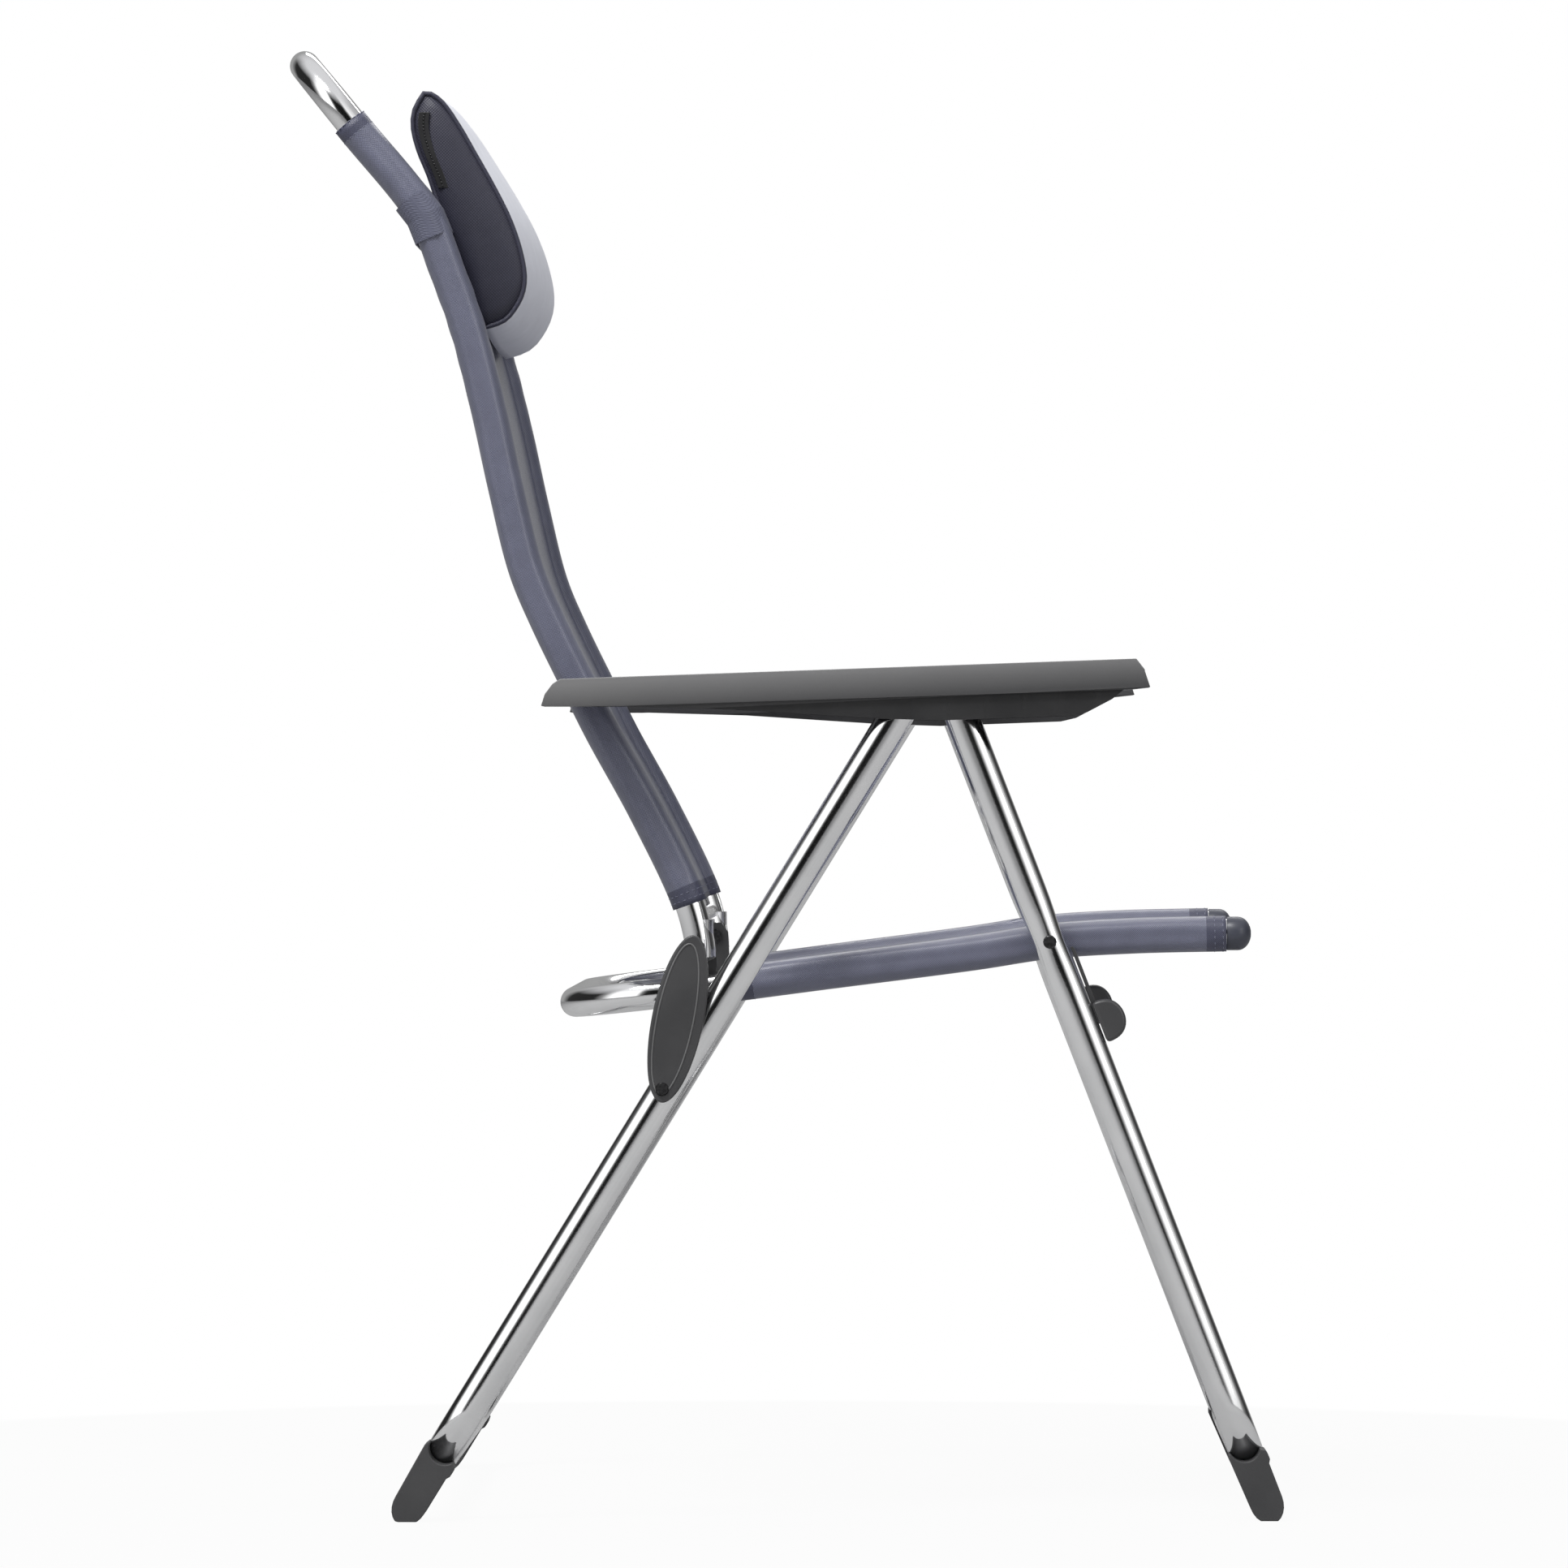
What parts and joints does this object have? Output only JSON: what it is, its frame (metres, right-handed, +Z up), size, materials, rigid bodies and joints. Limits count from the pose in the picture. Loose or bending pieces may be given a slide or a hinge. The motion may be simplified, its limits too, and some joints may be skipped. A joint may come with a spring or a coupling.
{
  "type": "folding camp chair",
  "caption": "High-back folding camp chair with oval aluminium legs, ratchet armrests, stretched fabric slings and a padded head pillow.",
  "frame": {"origin": "centre of the footprint on the floor", "axes": "+X towards the front of the chair, +Y to the sitter's left, +Z up"},
  "size_m": [0.797, 0.606, 1.1731],
  "materials": {
    "aluminium_tube": "polished",
    "steel": "dark zinc",
    "dark_plastic": "fine satin mould texture",
    "arm_plastic": "fine satin mould texture",
    "foot_rubber": "matt",
    "sling_fabric": "coated mesh weave",
    "pillow_fabric": "smooth woven face with mesh side gussets",
    "strap_webbing": "elastic webbing"
  },
  "bodies": {
    "seat": {"seat_tube": "aluminium_tube", "seat_sling": "sling_fabric", "seat_end_cap_left": "dark_plastic", "seat_end_cap_right": "dark_plastic", "back_bracket_left": "dark_plastic", "back_bracket_right": "dark_plastic", "link_bolt_left": "steel", "link_bolt_right": "steel", "link_spacer_left": "dark_plastic", "link_spacer_right": "dark_plastic", "seat_pivot_bolt_left": "steel", "seat_pivot_bolt_right": "steel", "seat_pivot_spacer_left": "dark_plastic", "seat_pivot_spacer_right": "dark_plastic"},
    "front_legs": {"front_leg_tube": "aluminium_tube", "front_foot_left": "foot_rubber", "front_foot_right": "foot_rubber", "leg_bumper_left": "dark_plastic", "leg_bumper_right": "dark_plastic"},
    "leg_links": {"hinge_link_left": "steel", "hinge_link_right": "steel", "front_top_pin_left": "steel", "front_top_pin_right": "steel", "rear_top_pin_left": "steel", "rear_top_pin_right": "steel", "latch_pin_left": "steel", "latch_pin_right": "steel"},
    "rear_legs": {"rear_leg_tube": "aluminium_tube", "rear_foot_left": "foot_rubber", "rear_foot_right": "foot_rubber"},
    "side_links": {"link_plate_left": "dark_plastic", "link_plate_right": "dark_plastic", "link_foot_screw_left": "steel", "link_foot_screw_right": "steel"},
    "back_hinge": {"back_pivot_bolt_left": "steel", "back_pivot_bolt_right": "steel"},
    "backrest": {"back_tube": "aluminium_tube", "back_cross_tube": "aluminium_tube", "back_sling": "sling_fabric", "head_pillow": "pillow_fabric", "pillow_strap": "strap_webbing", "back_end_cap_left": "dark_plastic", "back_end_cap_right": "dark_plastic"},
    "arm_hinge": {"arm_pivot_bolt_left": "steel", "arm_pivot_bolt_right": "steel"},
    "armrests": {"armrest_left": "arm_plastic", "armrest_right": "arm_plastic", "ratchet_rack_left": "dark_plastic", "ratchet_rack_right": "dark_plastic"}
  },
  "joints": [
    {"name": "fold", "type": "hinge", "parent": "seat", "child": "front_legs", "pos_m": [0.2113, 0, 0.4588], "axis": [0, 1, 0], "range_deg": [0, 97]},
    {"name": "leg_link_swing", "type": "hinge", "parent": "front_legs", "child": "leg_links", "pos_m": [0.1402, 0, 0.6408], "axis": [0, 1, 0], "range_deg": [-100.8, 0]},
    {"name": "rear_leg_swing", "type": "hinge", "parent": "leg_links", "child": "rear_legs", "pos_m": [0.0912, 0, 0.6408], "axis": [0, 1, 0], "range_deg": [0, 46.8]},
    {"name": "side_link_swing", "type": "hinge", "parent": "seat", "child": "side_links", "pos_m": [-0.0698, 0, 0.4209], "axis": [0, 1, 0], "range_deg": [-103, 0]},
    {"name": "back_fold", "type": "hinge", "parent": "seat", "child": "back_hinge", "pos_m": [-0.067, 0, 0.455], "axis": [0, 1, 0], "range_deg": [0, 101.1]},
    {"name": "recline", "type": "hinge", "parent": "back_hinge", "child": "backrest", "pos_m": [-0.067, 0, 0.455], "axis": [0, -1, 0], "range_deg": [0, 24]},
    {"name": "armrest_fold", "type": "hinge", "parent": "backrest", "child": "arm_hinge", "pos_m": [-0.1614, 0, 0.6586], "axis": [0, 1, 0], "range_deg": [-104.8, 0]},
    {"name": "armrest_tilt", "type": "hinge", "parent": "arm_hinge", "child": "armrests", "pos_m": [-0.1614, 0, 0.6586], "axis": [0, 1, 0], "range_deg": [0, 14.8]}
  ],
  "couplings": [
    {"joint": "leg_link_swing", "follows": "fold", "ratio": -1.0382},
    {"joint": "rear_leg_swing", "follows": "fold", "ratio": 0.48155},
    {"joint": "side_link_swing", "follows": "fold", "ratio": -1.0608},
    {"joint": "back_fold", "follows": "fold", "ratio": 1.0412},
    {"joint": "armrest_fold", "follows": "fold", "ratio": -1.0795},
    {"joint": "armrest_tilt", "follows": "recline", "ratio": 0.612}
  ]
}
